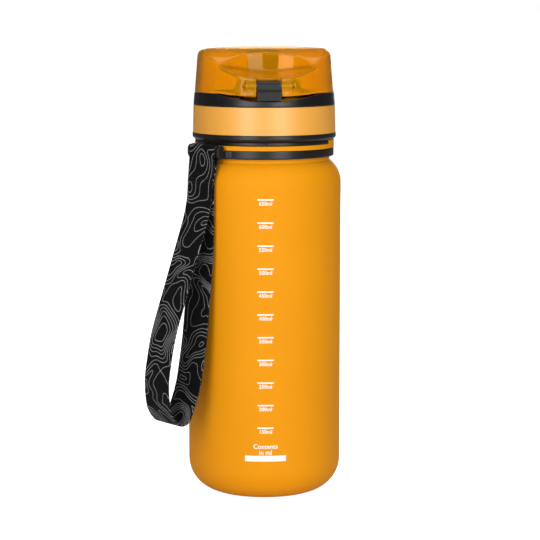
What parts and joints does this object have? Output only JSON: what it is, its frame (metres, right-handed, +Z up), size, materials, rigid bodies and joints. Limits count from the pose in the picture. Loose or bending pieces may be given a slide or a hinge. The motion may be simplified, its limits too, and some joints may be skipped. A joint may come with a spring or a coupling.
{
  "type": "sports squeeze bottle",
  "caption": "Frosted sports squeeze bottle with a screw cap, sprung flip lid, latch, printed volume scale and a webbing wrist strap on a swivelling neck ring.",
  "frame": {"origin": "on the bottle's axis, at the surface it stands on", "axes": "+Z up along the bottle, hinge of the lid at -Y, latch at +Y, strap between -X and -Y"},
  "size_m": [0.1021, 0.0874, 0.2298],
  "materials": {
    "frosted_orange": "frosted, soft matte, slightly see-through",
    "satin_orange": "satin",
    "amber_clear": "clear amber, polished",
    "black_plastic": "fine satin grain",
    "dark_plastic": "satin",
    "silicone": "soft matte",
    "webbing": "woven, with thin light contour lines",
    "steel": "bright"
  },
  "bodies": {
    "bottle": {"bottle_body": "frosted_orange", "collar_clip": "black_plastic"},
    "neck_ring": {"strap_ring": "black_plastic", "strap_bar": "black_plastic"},
    "strap": {"wrist_strap": "webbing"},
    "gasket": {"cap_gasket": "silicone"},
    "cap": {"cap_shell": "black_plastic", "cap_band": "satin_orange", "cap_deck": "black_plastic", "spout": "amber_clear", "spout_seal": "silicone", "hinge_block": "black_plastic", "hinge_pin": "steel", "hinge_spring": "steel", "latch_pin": "steel", "latch_spring": "steel"},
    "lid": {"flip_lid": "amber_clear", "plug_carrier": "dark_plastic", "seal_plug": "silicone"},
    "latch": {"latch_lever": "black_plastic"}
  },
  "joints": [
    {"name": "cap_lift", "type": "slide", "parent": "bottle", "child": "gasket", "axis": [0, 0, 1], "range_m": [0, 0.016]},
    {"name": "cap_turn", "type": "hinge", "parent": "gasket", "child": "cap", "pos_m": [0, 0, 0.18247], "axis": [0, 0, 1], "range_deg": [0, 720]},
    {"name": "lid_flip", "type": "hinge", "parent": "cap", "child": "lid", "pos_m": [0, -0.0325, 0.21037], "axis": [1, 0, 0], "range_deg": [0, 150], "deforming": ["hinge_spring"]},
    {"name": "latch_press", "type": "hinge", "parent": "cap", "child": "latch", "pos_m": [0, 0.0333, 0.20717], "axis": [-1, 0, 0], "range_deg": [0, 7], "stiffness_Nm_per_rad": 0.02, "deforming": ["latch_spring"]},
    {"name": "ring_swivel", "type": "hinge", "parent": "bottle", "child": "neck_ring", "pos_m": [0, 0, 0.17402], "axis": [0, 0, 1], "continuous": true},
    {"name": "strap_swing", "type": "hinge", "parent": "neck_ring", "child": "strap", "pos_m": [-0.03129, -0.02191, 0.17927], "axis": [-0.5736, 0.8192, 0], "range_deg": [0, 150]}
  ],
  "couplings": [
    {"joint": "cap_lift", "follows": "cap_turn", "m_per_rad": 0.0012732}
  ]
}
